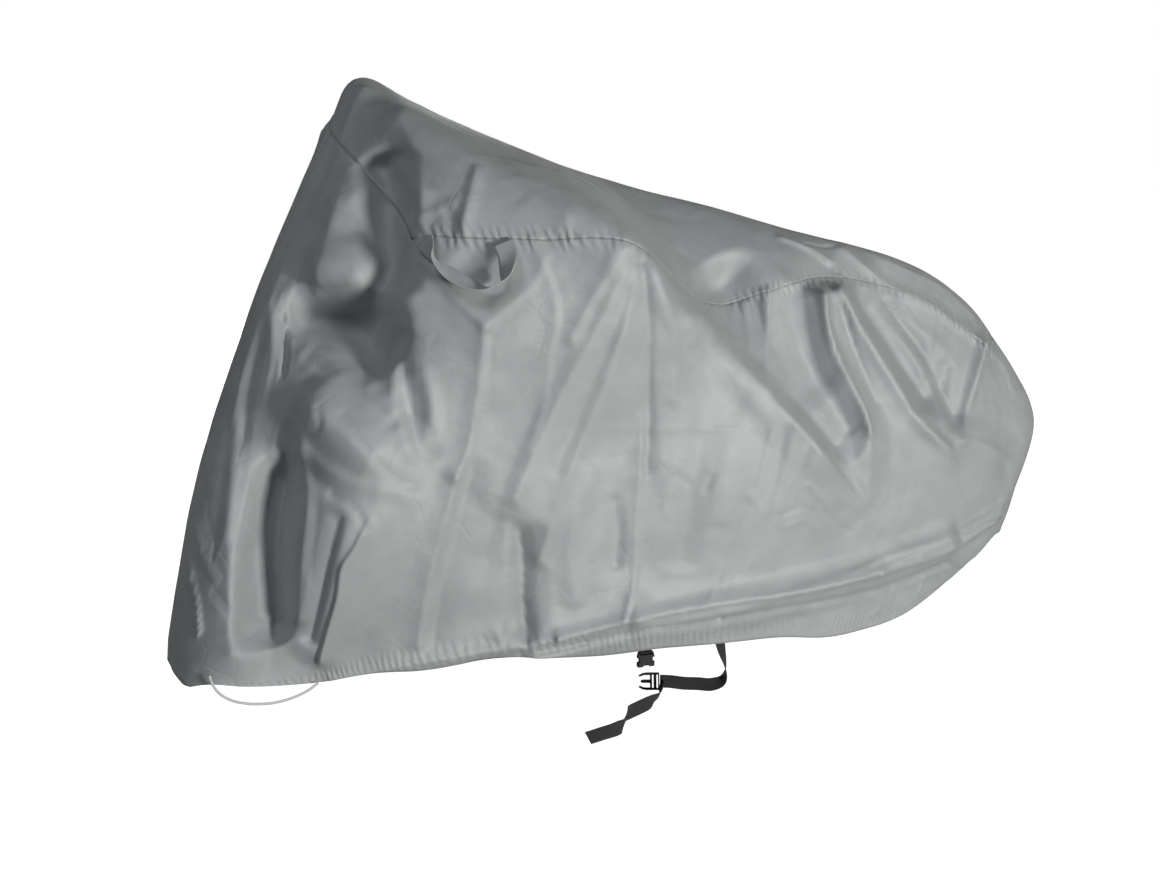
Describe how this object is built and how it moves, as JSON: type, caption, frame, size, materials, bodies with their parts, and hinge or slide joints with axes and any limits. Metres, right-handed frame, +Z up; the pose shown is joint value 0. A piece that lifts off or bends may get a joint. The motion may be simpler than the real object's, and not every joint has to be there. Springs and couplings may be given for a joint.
{
  "type": "fitted bicycle cover",
  "caption": "Grey coated-cloth cover in the draped shape it takes over a bicycle: shaped cap, gathered sides, elastic front hem, cloth loops and an under-strap with a side-release buckle.",
  "frame": {"origin": "on the underside of the cover's top, over the middle of the handlebar that carries it", "axes": "+Z up; +X from the front wheel's end to the rear wheel's end; the near side, with the strap and buckle, faces -Y"},
  "size_m": [1.8321, 0.7508, 1.158],
  "materials": {
    "coated_cloth": "silver-grey coated woven polyester with a satin sheen, light warp and weft, packing creases",
    "elastic_cord": "pale grey braided cover over elastic",
    "black_webbing": "matte black woven polypropylene webbing",
    "black_plastic": "black moulded acetal, softly glossy"
  },
  "bodies": {
    "root": {"top_panel": "coated_cloth", "near_panel": "coated_cloth", "far_panel": "coated_cloth", "near_loop": "coated_cloth", "far_loop": "coated_cloth", "hem_elastic": "elastic_cord", "strap_tab": "black_webbing", "strap": "black_webbing", "strap_tail": "black_webbing", "buckle_socket": "black_plastic", "buckle_plug": "black_plastic"}
  },
  "joints": []
}
